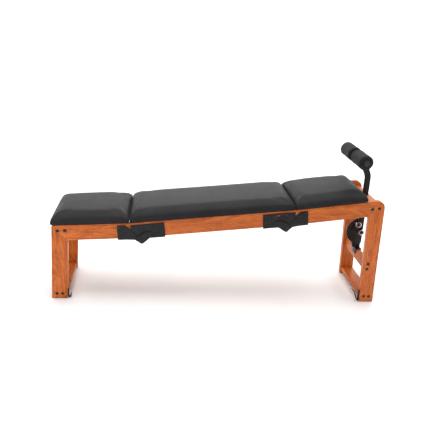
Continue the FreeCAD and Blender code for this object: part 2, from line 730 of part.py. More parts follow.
def export_rollers():
    half = ARM_THICKNESS / 2
    axle = rod(AXLE_CENTRE, AXLE_RADIUS, -AXLE_HALF_LENGTH, AXLE_HALF_LENGTH)
    spacer = ring(AXLE_CENTRE, AXLE_RADIUS, COLLAR_RADIUS, half, ROLLER_START - ROLLER_PLAY)
    plug = rod(AXLE_CENTRE, PLUG_RADIUS, ROLLER_END + ROLLER_PLAY, PLUG_REACH)
    plug = plug.cut(rod(AXLE_CENTRE, AXLE_RADIUS, ROLLER_END, AXLE_HALF_LENGTH))
    export("roller_axle", axle)
    export("axle_spacers", pair([spacer]))
    export("axle_end_plugs", pair([plug]))
    core = ring(AXLE_CENTRE, AXLE_RADIUS + RUNNING_CLEARANCE, CORE_RADIUS, ROLLER_START, ROLLER_END)
    foam = rod(AXLE_CENTRE, ROLLER_RADIUS, ROLLER_START, ROLLER_END)
    foam = foam.makeFillet(ROLLER_EDGE_RADIUS, [e for e in foam.Edges if len(e.Vertexes) == 1])
    foam = foam.cut(rod(AXLE_CENTRE, CORE_RADIUS, ROLLER_START, ROLLER_END))
    for side, turn in (("rear", lambda shape: shape), ("front", mirrored)):
        export(side + "_roller_core", turn(core))
        export(side + "_roller_foam", turn(foam))


# ---- Folding latch on the front legs ----

def latch_strip(corner, foot, heights, curl, outer_inset):
    """Bent strip down a front leg's inner edge, with its free end curling away from the leg."""
    inset = LEG_WIDTH + LATCH_THICKNESS / 2 + LATCH_GAP
    top, bottom = [leg_point(corner, foot, height, inset) for height in heights]
    points = [top, bottom] + [(bottom[0] + dx, bottom[1] + dz) for dx, dz in curl]
    y_low, y_high = -FRAME_HALF_WIDTH + outer_inset, -rail_inside - LATCH_INNER_INSET
    return strip(points, LATCH_THICKNESS, y_low, y_high)


# ---- Sections ----

def export_middle():
    export_sides("middle_rail", middle_rail())
    near, far = MIDDLE_BOARD_SPAN
    for side, bolt, u_low, u_high in (
        ("low", middle_bolts[0], near, far),
        ("high", middle_bolts[1], middle.length - far, middle.length - near),
    ):
        outline = middle.rectangle(u_low, u_high, *MIDDLE_BOARD_DEPTH)
        export("middle_cross_board_" + side, cross_board(outline, [bolt]))
    pad, board = rounded_pad(middle, PAD_END_CLEARANCE, middle.length - PAD_END_CLEARANCE)
    export("middle_pad", pad)
    export("middle_pad_board", board)
    export("middle_pad_cleats", pad_cleats(middle, CLEAT_END_GAP, middle.length - CLEAT_END_GAP))
    export("middle_hinge_plates_low", pair([middle_hinge_plate(low_hinge, False)]))
    export("middle_hinge_plates_high", pair([middle_hinge_plate(high_hinge, True)]))
    y_plate = FRAME_HALF_WIDTH + PLATE
    export("middle_plate_screws", pair([plate_screw(place, y_plate) for place in middle_screws]))
    export("middle_frame_bolts", pair([frame_bolt(place, y_plate) for place in middle_bolts]))
    export("middle_frame_inserts", pair([frame_insert(place) for place in middle_bolts]))
    export("hinge_bolts", pair([hinge_bolt(hinge) for hinge in hinges]))
    export("hinge_nuts", pair([hinge_nut(hinge) for hinge in hinges]))


def export_end_common(name, hinge, screws, bolts, corner, foot):
    """What both end sections have: plates, screws, bolts, inserts and glides."""
    y_plate = FRAME_HALF_WIDTH + PLATE + PLATE_STEP
    export(name + "_hinge_plates", pair([end_hinge_plate(hinge, screws)]))
    export(name + "_plate_screws", pair([plate_screw(place, y_plate) for place in screws]))
    export(name + "_frame_bolts", pair([frame_bolt(place, FRAME_HALF_WIDTH) for place in bolts]))
    export(name + "_frame_inserts", pair([frame_insert(place) for place in bolts]))
    export(name + "_foot_glides", foot_glides(corner, foot))


def export_low():
    bolts = low_top_bolts + low_foot_bolts
    rail, leg = end_frame(low, LOW_END, low_foot, LOW_JOINT, LOW_CORNER_RADIUS, bolts, low_screws)
    export_sides("low_rail", rail)
    export_sides("low_leg", leg)
    export("low_top_board", cross_board(low.rectangle(*LOW_TOP_BOARD), low_top_bolts))
    outline = foot_board(LOW_END, low_foot, *LOW_FOOT_BOARD_HEIGHTS)
    export("low_foot_board", cross_board(outline, low_foot_bolts))
    pad, board = rounded_pad(low, -LOW_PAD_END_OVERHANG, low.length - PAD_END_CLEARANCE)
    export("low_pad", pad)
    export("low_pad_board", board)
    export("low_pad_cleats", pad_cleats(low, LOW_CLEAT_START, low.length - CLEAT_END_GAP))
    export_end_common("low", low_hinge, low_screws, bolts, LOW_END, low_foot)
    hook = latch_strip(LOW_END, low_foot, HOOK_HEIGHTS, HOOK_CURL, HOOK_OUTER_INSET)
    export("latch_hook", hook)


def arm_notch():
    """Passage for the arm through the high end's top board, over its whole travel."""
    half = ARM_THICKNESS / 2 + ARM_NOTCH_CLEARANCE
    size = (ARM_NOTCH_X[1] - ARM_NOTCH_X[0], 2 * half, ARM_NOTCH_Z[1] - ARM_NOTCH_Z[0])
    return Part.makeBox(*size, Vector(ARM_NOTCH_X[0], -half, ARM_NOTCH_Z[0]))


def export_high():
    bolts = high_top_bolts + high_middle_bolts + high_foot_bolts
    rail, leg = end_frame(high, HIGH_END, high_foot, HIGH_JOINT, HIGH_CORNER_RADIUS, bolts, high_screws)
    export_sides("high_rail", rail)
    export_sides("high_leg", leg)
    u_low, u_high = [high.length + u for u in HIGH_TOP_BOARD_FROM_END]
    top_board = cross_board(high.rectangle(u_low, u_high, *HIGH_TOP_BOARD_DEPTH), high_top_bolts)
    export("high_top_board", top_board.cut(arm_notch()))
    x_low, x_high = HIGH_MIDDLE_BOARD_X
    z_low, z_high = HIGH_MIDDLE_BOARD_Z
    outline = [(x_low, z_low), (x_high, z_low), (x_high, z_high), (x_low, z_high)]
    middle_board = cross_board(outline, high_middle_bolts)
    screw_bores = [bracket_screw_bore(place, x_high) for place in BRACKET_SCREWS]
    export("high_middle_board", cut_all(middle_board, screw_bores))
    outline = foot_board(HIGH_END, high_foot, *HIGH_FOOT_BOARD_HEIGHTS)
    export("high_foot_board", cross_board(outline, high_foot_bolts))
    pad, board = rounded_pad(high, PAD_END_CLEARANCE, high.length - HIGH_PAD_SETBACK)
    export("high_pad", pad)
    export("high_pad_board", board)
    cleat_end = high.length - HIGH_PAD_SETBACK - HIGH_CLEAT_END_GAP
    export("high_pad_cleats", pad_cleats(high, CLEAT_END_GAP, cleat_end))
    export_end_common("high", high_hinge, high_screws, bolts, HIGH_END, high_foot)
    clip = latch_strip(HIGH_END, high_foot, CLIP_HEIGHTS, CLIP_CURL, CLIP_OUTER_INSET)
    export("latch_clip", clip)
    export_arm((x_low, x_high, z_high))


os.makedirs("parts", exist_ok=True)
export_middle()
export_low()
export_high()
export_rollers()
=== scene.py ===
import json
import math

import bmesh
import bpy
import numpy as np
from mathutils import Matrix, Vector, noise


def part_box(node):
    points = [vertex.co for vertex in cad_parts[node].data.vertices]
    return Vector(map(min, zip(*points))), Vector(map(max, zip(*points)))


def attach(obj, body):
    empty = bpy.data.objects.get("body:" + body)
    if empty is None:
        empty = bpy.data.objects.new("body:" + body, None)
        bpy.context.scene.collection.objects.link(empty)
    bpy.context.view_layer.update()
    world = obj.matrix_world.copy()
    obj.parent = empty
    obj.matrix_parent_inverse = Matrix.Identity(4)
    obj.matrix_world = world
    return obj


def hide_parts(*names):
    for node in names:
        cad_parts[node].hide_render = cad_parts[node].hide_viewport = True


# Folding inclined exercise bench with foot rollers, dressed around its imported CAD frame.
# Metres; +X runs to the high end, +Y to the rear and +Z up, with the floor at Z = 0.

# Camera
CAMERA_PLACE = Vector((-0.3173, -2.0636, 1.2847))
CAMERA_YAW = math.radians(7.8)
CAMERA_PITCH = math.radians(23.4)
CAMERA_ROLL = math.radians(5.06)
CAMERA_LENS_MM = 39.6
SENSOR_MM = 36.0

# Cushions
END_SHRINK = 0.0009
SIDE_SHRINK = 0.0030
TOP_SHRINK = 0.0035
UNDERSIDE_LIFT = 0.0004
CORNER_RADIUS = 0.006
END_RADIUS = 0.022
SIDE_RADIUS = 0.034
TOP_RADIUS = 0.030
CROWN = 0.004
BLANK_CUTS = 30
VOXEL = 0.0055
SWELL_CAP = 0.0055
END_MARGIN = 0.0003
END_PRESS = 0.004
CORNER_DROP = 0.009
CORNER_REACH = 0.055
PRESSURE = 4.0
SIMULATED_FRAMES = 20
SMOOTHING_PASSES = 16
TUCK_REACH = 0.045
TUCK_CENTRE = 0.02
TUCKS_PER_TURN = 9.0
TUCK_DEPTH = 0.0011
DRAG_DEPTH = 0.0007
DRAG_PITCH = 38.0
DRAG_STRETCH = 9.0
SIDE_BAND = 0.02

# Foot rollers
FOAM_BORE = 0.0092
FOAM_EDGE = 0.007
FOAM_STEPS = 22
FOAM_TURNS = 96
FOAM_WAIST = 0.0009
FOAM_ALLOWANCE = 0.0003
FOAM_CHAMFER = 0.003
FOAM_LIP = 0.006
FOAM_DISH = 0.0008
FOAM_RIM = 0.004

# Lights: name, place, aim, size and power
LIGHTS = (
    ("overhead", (0.0, 0.5, 3.2), (0.0, 0.1, 0.3), (4.5, 3.0), 150),
    ("front_fill", (-1.8, -3.4, 1.8), (-0.2, 0.0, 0.4), (2.6, 1.8), 52),
    ("side_fill", (3.4, -0.6, 1.6), (0.3, 0.0, 0.4), (2.0, 1.6), 10),
    ("backdrop_wash", (0.0, 3.6, 4.6), (0.0, 9.0, 2.0), (8.0, 2.0), 900),
)
WORLD_STRENGTH = 0.42

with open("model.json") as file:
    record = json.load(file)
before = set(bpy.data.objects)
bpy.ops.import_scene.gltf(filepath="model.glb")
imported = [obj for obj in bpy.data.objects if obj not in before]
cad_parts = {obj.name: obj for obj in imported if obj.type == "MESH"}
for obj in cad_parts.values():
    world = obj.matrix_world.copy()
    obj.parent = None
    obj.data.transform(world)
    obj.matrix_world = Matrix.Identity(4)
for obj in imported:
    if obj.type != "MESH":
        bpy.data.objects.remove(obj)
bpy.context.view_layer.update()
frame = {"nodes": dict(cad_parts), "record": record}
record = frame["record"]
body_of_node = {node: body for body, nodes in record["behaviour"]["bodies"].items() for node in nodes}
slot_of_node = {part["node"]: part["material_slot"] for part in record["subparts"]}


# ---- Materials ----

class Graph:
    """A material's node tree, built from the Principled shader outwards."""

    def __init__(self, name, **shader_values):
        self.material = bpy.data.materials.new(name)
        self.material.use_nodes = True
        self.tree = self.material.node_tree
        self.shader = self.tree.nodes["Principled BSDF"]
        for key, value in shader_values.items():
            self.shader.inputs[key.replace("_", " ")].default_value = value

    def node(self, kind, inputs, **settings):
        node = self.tree.nodes.new(kind)
        for key, value in settings.items():
            setattr(node, key, value)
        for key, value in inputs.items():
            if isinstance(value, bpy.types.NodeSocket):
                self.tree.links.new(value, node.inputs[key])
            else:
                node.inputs[key].default_value = value
        return node

    def place(self, scale=(1, 1, 1), rotation=(0, 0, 0)):
        """Object coordinates, turned and then stretched."""
        source = self.tree.nodes.new("ShaderNodeTexCoord").outputs["Object"]
        turned = self.node("ShaderNodeMapping", {"Vector": source, "Rotation": rotation})
        return self.node("ShaderNodeMapping", {"Vector": turned.outputs[0], "Scale": scale}).outputs[0]

    def noise(self, vector, scale, detail=4.0, roughness=0.55, distortion=0.0):
        inputs = {"Vector": vector, "Scale": scale, "Detail": detail}
        inputs.update({"Roughness": roughness, "Distortion": distortion})
        return self.node("ShaderNodeTexNoise", inputs).outputs["Fac"]

    def cells(self, vector, scale, feature="F1"):
        node = self.node("ShaderNodeTexVoronoi", {"Vector": vector, "Scale": scale}, feature=feature)
        return node.outputs["Distance"]

    def ramp(self, factor, stops):
        node = self.node("ShaderNodeValToRGB", {"Fac": factor})
        elements = node.color_ramp.elements
        while len(elements) < len(stops):
            elements.new(0.5)
        for element, (position, colour) in zip(elements, stops):
            element.position = position
            element.color = (*colour, 1.0)
        return node.outputs["Color"]

    def levels(self, factor, low, high, to_low=0.0, to_high=1.0):
        inputs = {"Value": factor, "From Min": low, "From Max": high}
        inputs.update({"To Min": to_low, "To Max": to_high})
        return self.node("ShaderNodeMapRange", inputs).outputs[0]

    def mix(self, factor, first, second, blend="MIX"):
        node = self.tree.nodes.new("ShaderNodeMix")
        node.data_type = "RGBA"
        node.blend_type = blend
        for key, value in ((0, factor), (6, first), (7, second)):
            if isinstance(value, bpy.types.NodeSocket):
                self.tree.links.new(value, node.inputs[key])
            else:
                node.inputs[key].default_value = value if key == 0 else (*value, 1.0)
        return node.outputs[2]

    def maths(self, operation, first, second):
        node = self.tree.nodes.new("ShaderNodeMath")
        node.operation = operation
        for key, value in ((0, first), (1, second)):
            if isinstance(value, bpy.types.NodeSocket):
                self.tree.links.new(value, node.inputs[key])
            else:
                node.inputs[key].default_value = value
        return node.outputs[0]

    def bump(self, *layers):
        """Stacked bump layers, each (height, strength, distance in metres)."""
        normal = None
        for height, strength, distance in layers:
            inputs = {"Height": height, "Strength": strength, "Distance": distance}
            if normal is not None:
                inputs["Normal"] = normal
            normal = self.node("ShaderNodeBump", inputs).outputs[0]
        self.tree.links.new(normal, self.shader.inputs["Normal"])

    def drive(self, socket, value):
        self.tree.links.new(value, self.shader.inputs[socket])


wood_by_direction = {}


def varnished_wood(direction):
    """Orange-brown hardwood with its grain along a direction, under a satin varnish."""
    if abs(direction.y) > 0.9:
        rotation = (0, 0, -math.pi / 2)
        key = "across"
    else:
        angle = math.atan2(direction.z, direction.x) % math.pi
        rotation = (0, angle, 0)
        key = "at_%03d" % round(math.degrees(angle))
    if key in wood_by_direction:
        return wood_by_direction[key]
    graph = Graph("wood_" + key, Coat_Weight=0.13, Coat_Roughness=0.14, Specular_IOR_Level=0.18)
    boards = graph.place((1.2, 9, 9), rotation)
    streaks = graph.place((3.0, 62, 62), rotation)
    pores = graph.place((26, 620, 620), rotation)
    warp = graph.noise(boards, 1.0, 3.0, 0.5, 0.35)
    figure = graph.noise(boards, 2.6, 5.0, 0.6, 1.6)
    rings = graph.maths("SINE", graph.maths("MULTIPLY", figure, 46.0), 0.0)
    rings = graph.levels(rings, -1.0, 1.0)
    streak = graph.noise(streaks, 1.0, 6.0, 0.62, 0.25)
    pore = graph.noise(pores, 1.0, 3.0, 0.6)
    grain = graph.maths("ADD", graph.maths("MULTIPLY", rings, 0.24), graph.maths("MULTIPLY", streak, 0.76))
    colour = graph.ramp(
        grain,
        [
            (0.22, (0.22, 0.046, 0.010)),
            (0.40, (0.42, 0.092, 0.015)),
            (0.56, (0.57, 0.134, 0.021)),
            (0.80, (0.67, 0.178, 0.030)),
        ],
    )
    colour = graph.mix(graph.levels(warp, 0.35, 0.68, 0.0, 0.40), colour, (0.34, 0.074, 0.010))
    dark_pores = graph.levels(pore, 0.56, 0.70, 0.0, 0.55)
    colour = graph.mix(dark_pores, colour, (0.15, 0.034, 0.010))
    graph.drive("Base Color", colour)
    graph.drive("Roughness", graph.levels(streak, 0.3, 0.7, 0.30, 0.42))
    graph.bump((pore, 0.22, 0.0004), (streak, 0.10, 0.0006))
    wood_by_direction[key] = graph.material
    return graph.material


def leatherette():
    """Matte black leatherette: fine pebbled cells, soft creases and a faint sheen, with painted shade
    darkening the valleys between the pebbles.
    """
    graph = Graph("black_leatherette", Sheen_Weight=0.02, Sheen_Roughness=0.45, Specular_IOR_Level=0.10)
    place = graph.place()
    cell = graph.cells(place, 620.0, "DISTANCE_TO_EDGE")
    pebble = graph.levels(cell, 0.0, 0.16)
    fine = graph.noise(place, 1900.0, 3.0)
    broad = graph.noise(place, 9.0, 4.0)
    hide = graph.noise(place, 90.0, 4.0)
    # Painted shade: the colour is darkest at the cell edges, where the bump sinks into the grain's
    # valleys, and lighter on the raised pebbles.
    colour = graph.ramp(pebble, [(0.0, (0.006, 0.006, 0.007)), (0.7, (0.017, 0.017, 0.018))])
    colour = graph.mix(graph.levels(broad, 0.35, 0.7, 0.0, 0.5), colour, (0.024, 0.024, 0.026))
    graph.drive("Base Color", colour)
    patches = graph.levels(hide, 0.3, 0.7, -0.03, 0.04)
    rough = graph.maths("ADD", patches, graph.levels(pebble, 0, 1, 0.54, 0.46))
    graph.drive("Roughness", rough)
    graph.bump((broad, 0.10, 0.004), (pebble, 0.34, 0.00035), (fine, 0.12, 0.0001))
    return graph.material


def black_steel():
    """Powder-coated steel with orange peel and slightly worn, shinier patches."""
    graph = Graph("black_powder_coat", Metallic=0.0, Specular_IOR_Level=0.22)
    place = graph.place()
    peel = graph.noise(place, 900.0, 3.0)
    grit = graph.cells(place, 1500.0)
    worn = graph.noise(place, 42.0, 5.0)
    colour = graph.ramp(worn, [(0.35, (0.006, 0.006, 0.006)), (0.72, (0.015, 0.015, 0.015))])
    graph.drive("Base Color", colour)
    graph.drive("Roughness", graph.levels(worn, 0.3, 0.7, 0.36, 0.50))
    graph.bump((peel, 0.22, 0.0002), (grit, 0.12, 0.0001))
    return graph.material


def black_fasteners():
    """Black-oxide bolt heads, oily smooth with turning marks."""
    graph = Graph("black_oxide", Metallic=0.5, Specular_IOR_Level=0.3)
    place = graph.place()
    turned = graph.noise(graph.place((1, 0.2, 1)), 1400.0, 2.0)
    patch = graph.noise(place, 160.0, 4.0)
    colour = graph.ramp(patch, [(0.3, (0.014, 0.014, 0.015)), (0.7, (0.034, 0.033, 0.034))])
    graph.drive("Base Color", colour)
    graph.drive("Roughness", graph.levels(patch, 0.3, 0.7, 0.26, 0.42))
    graph.bump((turned, 0.08, 0.0001))
    return graph.material


def chrome():
    """Polished chrome with faint smears."""
    graph = Graph("polished_chrome", Metallic=1.0)
    place = graph.place()
    smear = graph.noise(graph.place((1, 6, 1)), 45.0, 4.0)
    fine = graph.noise(place, 1600.0, 2.0)
    graph.drive("Base Color", graph.ramp(smear, [(0.3, (0.62, 0.63, 0.65)), (0.7, (0.80, 0.80, 0.81))]))
    graph.drive("Roughness", graph.levels(smear, 0.3, 0.7, 0.06, 0.17))
    graph.bump((fine, 0.03, 0.00005))
    return graph.material


def roller_foam():
    """Closed-cell foam: dull black with small open pits and a scuffed bloom."""
    graph = Graph("black_foam", Specular_IOR_Level=0.16, Sheen_Weight=0.05, Sheen_Roughness=0.6)
    place = graph.place()
    cell = graph.cells(place, 760.0)
    pits = graph.levels(cell, 0.15, 0.75)
    skin = graph.noise(place, 260.0, 5.0)
    scuff = graph.noise(place, 26.0, 5.0)
    colour = graph.ramp(pits, [(0.0, (0.016, 0.016, 0.017)), (1.0, (0.006, 0.006, 0.006))])
    colour = graph.mix(graph.levels(scuff, 0.45, 0.75, 0.0, 0.55), colour, (0.030, 0.030, 0.032))
    graph.drive("Base Color", colour)
    graph.drive("Roughness", graph.levels(skin, 0.3, 0.7, 0.80, 0.96))
    graph.bump((pits, 0.45, 0.0006), (skin, 0.25, 0.0008))
    return graph.material


def moulded_plastic(name, tone, rough):
    """Black moulded plastic or rubber with a fine spark-eroded texture."""
    graph = Graph(name)
    place = graph.place()
    texture = graph.noise(place, 1500.0, 3.0)
    patch = graph.noise(place, 60.0, 3.0)
    low = (tone * 0.8,) * 3
    high = (tone * 1.35,) * 3
    graph.drive("Base Color", graph.ramp(patch, [(0.3, low), (0.7, high)]))
    graph.drive("Roughness", graph.levels(patch, 0.3, 0.7, rough - 0.06, rough + 0.06))
    graph.bump((texture, 0.25, 0.00015))
    return graph.material


def turned_brass():
    graph = Graph("turned_brass", Metallic=1.0)
    lathe = graph.noise(graph.place((1, 8, 1)), 600.0, 3.0)
    graph.drive("Base Color", graph.ramp(lathe, [(0.3, (0.50, 0.33, 0.10)), (0.7, (0.68, 0.48, 0.18))]))
    graph.drive("Roughness", graph.levels(lathe, 0.3, 0.7, 0.22, 0.36))
    graph.bump((lathe, 0.15, 0.0001))
    return graph.material


def plywood():
    """Pale plywood: a rotary-cut face with long cathedral figure and small pores."""
    graph = Graph("plain_plywood", Specular_IOR_Level=0.3)
    figure = graph.noise(graph.place((1.5, 16, 60)), 1.5, 5.0, 0.6, 1.2)
    pore = graph.noise(graph.place((30, 500, 500)), 1.0, 3.0)
    stops = [(0.3, (0.42, 0.27, 0.13)), (0.55, (0.56, 0.39, 0.21)), (0.75, (0.64, 0.47, 0.28))]
    colour = graph.ramp(figure, stops)
    colour = graph.mix(graph.levels(pore, 0.58, 0.72, 0.0, 0.4), colour, (0.26, 0.15, 0.07))
    graph.drive("Base Color", colour)
    graph.drive("Roughness", graph.levels(figure, 0.3, 0.7, 0.55, 0.70))
    graph.bump((pore, 0.25, 0.0003))
    return graph.material


finishes = {
    "pad_cover": leatherette(),
    "board_ply": plywood(),
    "black_steel": black_steel(),
    "black_fasteners": black_fasteners(),
    "chrome": chrome(),
    "roller_foam": roller_foam(),
    "roller_core": moulded_plastic("core_plastic", 0.045, 0.42),
    "black_plastic": moulded_plastic("knob_plastic", 0.012, 0.46),
    "brass": turned_brass(),
    "glide_rubber": moulded_plastic("glide_rubber", 0.018, 0.72),
}


# ---- Mesh helpers ----

def new_piece(name, mesh_source, body, material):
    """Links a bmesh or mesh as a piece that rides on a body."""
    mesh = mesh_source
    if isinstance(mesh_source, bmesh.types.BMesh):
        mesh = bpy.data.meshes.new(name)
        mesh_source.to_mesh(mesh)
        mesh_source.free()
    piece = bpy.data.objects.new(name, mesh)
    bpy.context.scene.collection.objects.link(piece)
    mesh.materials.clear()
    mesh.materials.append(material)
    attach(piece, body)
    return piece


def apply_modifiers(piece):
    """Replaces a piece's mesh by what its modifiers make of it."""
    graph = bpy.context.evaluated_depsgraph_get()
    made = bpy.data.meshes.new_from_object(piece.evaluated_get(graph))
    piece.modifiers.clear()
    piece.data = made


def shade_by_angle(piece, degrees):
    piece.data.shade_smooth()
    piece.data.set_sharp_from_angle(angle=math.radians(degrees))


def longest_edge(work):
    edge = max(work.edges, key=lambda e: e.calc_length())
    return (edge.verts[1].co - edge.verts[0].co).normalized()


EDGE_ROUNDING = {
    "varnished_wood": 0.0018,
    "black_steel": 0.0006,
    "black_fasteners": 0.0004,
    "chrome": 0.0010,
    "board_ply": 0.0008,
    "black_plastic": 0.0012,
    "glide_rubber": 0.0005,
}


def soften(node):
    """A copy of a CAD node with its sharp edges rounded, in the node's own finish."""
    slot = slot_of_node[node]
    work = bmesh.new()
    work.from_mesh(frame["nodes"][node].data)
    bmesh.ops.remove_doubles(work, verts=work.verts, dist=1e-6)
    bmesh.ops.dissolve_limit(work, angle_limit=math.radians(0.3), verts=work.verts, edges=work.edges)
    direction = longest_edge(work)
    material = varnished_wood(direction) if slot == "varnished_wood" else finishes[slot]
    piece = new_piece(node + "_finished", work, body_of_node[node], material)
    bevel = piece.modifiers.new("rounding", "BEVEL")
    bevel.width = EDGE_ROUNDING[slot]
    bevel.segments = 3
    bevel.limit_method = "ANGLE"
    bevel.angle_limit = math.radians(38)
    bevel.use_clamp_overlap = True
    apply_modifiers(piece)
    shade_by_angle(piece, 35)
    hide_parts(node)
    return piece


def lathe(work, profile, centre, turns=64):
    """Spins (radius, y) points about an axis along Y through an XZ centre."""
    rings = []
    for radius, y in profile:
        ring = []
        for i in range(turns):
            angle = 2 * math.pi * i / turns
            place = (centre[0] + radius * math.cos(angle), y, centre[1] + radius * math.sin(angle))
            ring.append(work.verts.new(place))
        rings.append(ring)
    for first, second in zip(rings, rings[1:] + rings[:1]):
        for i in range(turns):
            j = (i + 1) % turns
            work.faces.new((first[i], first[j], second[j], second[i]))


# ---- Cushions ----

class DeckFrame:
    """Axes of a cushion: u along its section, y across, and v up from the rail tops."""

    def __init__(self, board_node, pad_node):
        corners = [v.co.copy() for v in frame["nodes"][board_node].data.vertices]
        lowest = min(corners, key=lambda c: c.z)
        farthest = max(corners, key=lambda c: c.x)
        run = farthest - lowest
        run.y = 0
        self.along = run.normalized()
        self.up = Vector((-self.along.z, 0, self.along.x))
        self.origin = Vector((lowest.x, 0, lowest.z))
        pad = [self.local(v.co) for v in frame["nodes"][pad_node].data.vertices]
        self.low = Vector([min(p[i] for p in pad) for i in range(3)])
        self.high = Vector([max(p[i] for p in pad) for i in range(3)])

    def local(self, point):
        offset = point - self.origin
        return Vector((offset.dot(self.along), point.y, offset.dot(self.up)))

    def world(self, point):
        return self.origin + self.along * point[0] + Vector((0, point[1], 0)) + self.up * point[2]


def blend(low, high, share):
    return low + (high - low) * share


def cushion_blank(deck):
    """Block with tight upright corners below that open into a broad rounding along its top edge."""
    size = deck.high - deck.low
    size -= Vector((2 * END_SHRINK, 2 * SIDE_SHRINK, TOP_SHRINK + UNDERSIDE_LIFT))
    half = size / 2
    middle = (deck.low + deck.high) / 2
    work = bmesh.new()
    bmesh.ops.create_cube(work, size=1.0)
    bmesh.ops.subdivide_edges(work, edges=work.edges, cuts=BLANK_CUTS, use_grid_fill=True)
    for vert in work.verts:
        x = half.x * math.sin(vert.co.x * math.pi)
        y = half.y * math.sin(vert.co.y * math.pi)
        z = (vert.co.z + 0.5) * size.z
        share = (z / size.z) ** 2
        radii = (
            blend(CORNER_RADIUS, END_RADIUS, share),
            blend(CORNER_RADIUS, SIDE_RADIUS, share),
            TOP_RADIUS,
        )
        over = (
            max(0.0, abs(x) - half.x + radii[0]) / radii[0],
            max(0.0, abs(y) - half.y + radii[1]) / radii[1],
            max(0.0, z - size.z + radii[2]) / radii[2],
        )
        reach = math.hypot(*over)
        pull = max(over) / reach if reach else 1.0
        x = math.copysign(min(abs(x), half.x - radii[0]) + over[0] * pull * radii[0], x)
        y = math.copysign(min(abs(y), half.y - radii[1]) + over[1] * pull * radii[1], y)
        z = min(z, size.z - radii[2]) + over[2] * pull * radii[2]
        vert.co = deck.world((middle.x + x, y, UNDERSIDE_LIFT + z))
    return work


def simulate_swelling(piece, deck):
    """Inflates the remeshed block as cloth, with the underside held, and keeps the result."""
    rest = np.array([v.co for v in piece.data.vertices])
    held = piece.vertex_groups.new(name="held")
    underside = [v.index for v in piece.data.vertices if deck.local(v.co).z < UNDERSIDE_LIFT + VOXEL]
    held.add(underside, 1.0, "REPLACE")
    cloth = piece.modifiers.new("cover", "CLOTH")
    cloth.settings.quality = 5
    cloth.settings.mass = 0.35
    cloth.settings.tension_stiffness = 22
    cloth.settings.compression_stiffness = 22
    cloth.settings.shear_stiffness = 8
    cloth.settings.bending_stiffness = 0.6
    cloth.settings.use_pressure = True
    cloth.settings.uniform_pressure_force = PRESSURE
    cloth.settings.vertex_group_mass = "held"
    cloth.settings.effector_weights.gravity = 0
    cloth.collision_settings.use_collision = False
    scene = bpy.context.scene
    for step in range(1, SIMULATED_FRAMES + 1):
        scene.frame_set(step)
    graph = bpy.context.evaluated_depsgraph_get()
    moved = piece.evaluated_get(graph).to_mesh()
    swollen = np.array([v.co for v in moved.vertices])
    piece.evaluated_get(graph).to_mesh_clear()
    piece.modifiers.clear()
    shift = swollen - rest
    size = np.linalg.norm(shift, axis=1)
    shift *= (np.minimum(size, SWELL_CAP) / np.maximum(size, 1e-9))[:, None]
    for vert, place in zip(piece.data.vertices, rest + shift):
        vert.co = place
    scene.frame_set(1)


def tension_marks(piece, deck, seed):
    """Soft tucks and drag lines low on the sides, then the crown and the dropped corners."""
    half_width = deck.high.y
    for vert in piece.data.vertices:
        p = deck.local(vert.co)
        near_end = min(p.x - deck.low.x, deck.high.x - p.x)
        near_side = half_width - abs(p.y)
        lower = max(0.0, 1.0 - p.z / (deck.high.z * 0.8))
        corner = math.exp(-((near_end / TUCK_REACH) ** 2 + (near_side / TUCK_REACH) ** 2))
        bearing = math.atan2(near_side - TUCK_CENTRE, near_end - TUCK_CENTRE)
        tuck = math.cos(bearing * TUCKS_PER_TURN) * TUCK_DEPTH * corner * lower
        skin = min(near_end, near_side)
        side_face = max(0.0, 1.0 - skin / SIDE_BAND)
        pattern = Vector((p.x * DRAG_PITCH, p.y * DRAG_PITCH, p.z * DRAG_STRETCH + seed))
        drag = noise.noise(pattern) * DRAG_DEPTH * lower * side_face
        vert.co += vert.normal * (tuck + drag)
    for vert in piece.data.vertices:
        p = deck.local(vert.co)
        near_end = min(p.x - deck.low.x, deck.high.x - p.x)
        near_side = half_width - abs(p.y)
        across = max(0.0, 1.0 - (p.y / half_width) ** 2)
        span = (deck.high.x - deck.low.x) / 2
        along = max(0.0, 1.0 - ((p.x - deck.low.x - span) / span) ** 4)
        height = max(0.0, p.z / deck.high.z - 0.3) / 0.7
        corner = math.exp(-((near_end / CORNER_REACH) ** 2 + (near_side / CORNER_REACH) ** 2))
        vert.co += deck.up * ((CROWN * across * along - CORNER_DROP * corner) * height)


def press_ends(piece, deck):
    """Stretches the cover to its full length and flattens its ends, as neighbours press them."""
    places = [deck.local(vert.co) for vert in piece.data.vertices]
    first, last = (min(p.x for p in places), max(p.x for p in places))
    widest = max(abs(p.y) for p in places)
    low, high = (deck.low.x + END_MARGIN, deck.high.x - END_MARGIN)
    for vert, p in zip(piece.data.vertices, places):
        share = (p.x - first) / (last - first)
        stretched = blend(low - END_PRESS, high + END_PRESS, share)
        p.x = min(max(stretched, low), high)
        p.y *= deck.high.y / widest
        vert.co = deck.world(p)


def cushion(name, seed):
    pad_node = name + "_pad"
    deck = DeckFrame(name + "_pad_board", pad_node)
    piece = new_piece(
        name + "_cushion", cushion_blank(deck), body_of_node[pad_node], finishes["pad_cover"]
    )
    remesh = piece.modifiers.new("even", "REMESH")
    remesh.mode = "VOXEL"
    remesh.voxel_size = VOXEL
    apply_modifiers(piece)
    simulate_swelling(piece, deck)
    tension_marks(piece, deck, seed)
    smooth = piece.modifiers.new("even", "SMOOTH")
    smooth.iterations = SMOOTHING_PASSES
    smooth.factor = 0.5
    finer = piece.modifiers.new("finer", "SUBSURF")
    finer.levels = 1
    finer.render_levels = 1
    apply_modifiers(piece)
    press_ends(piece, deck)
    piece.data.shade_smooth()
    piece.data.materials.clear()
    piece.data.materials.append(finishes["pad_cover"])
    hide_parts(pad_node)
    return piece


# ---- Foot rollers ----

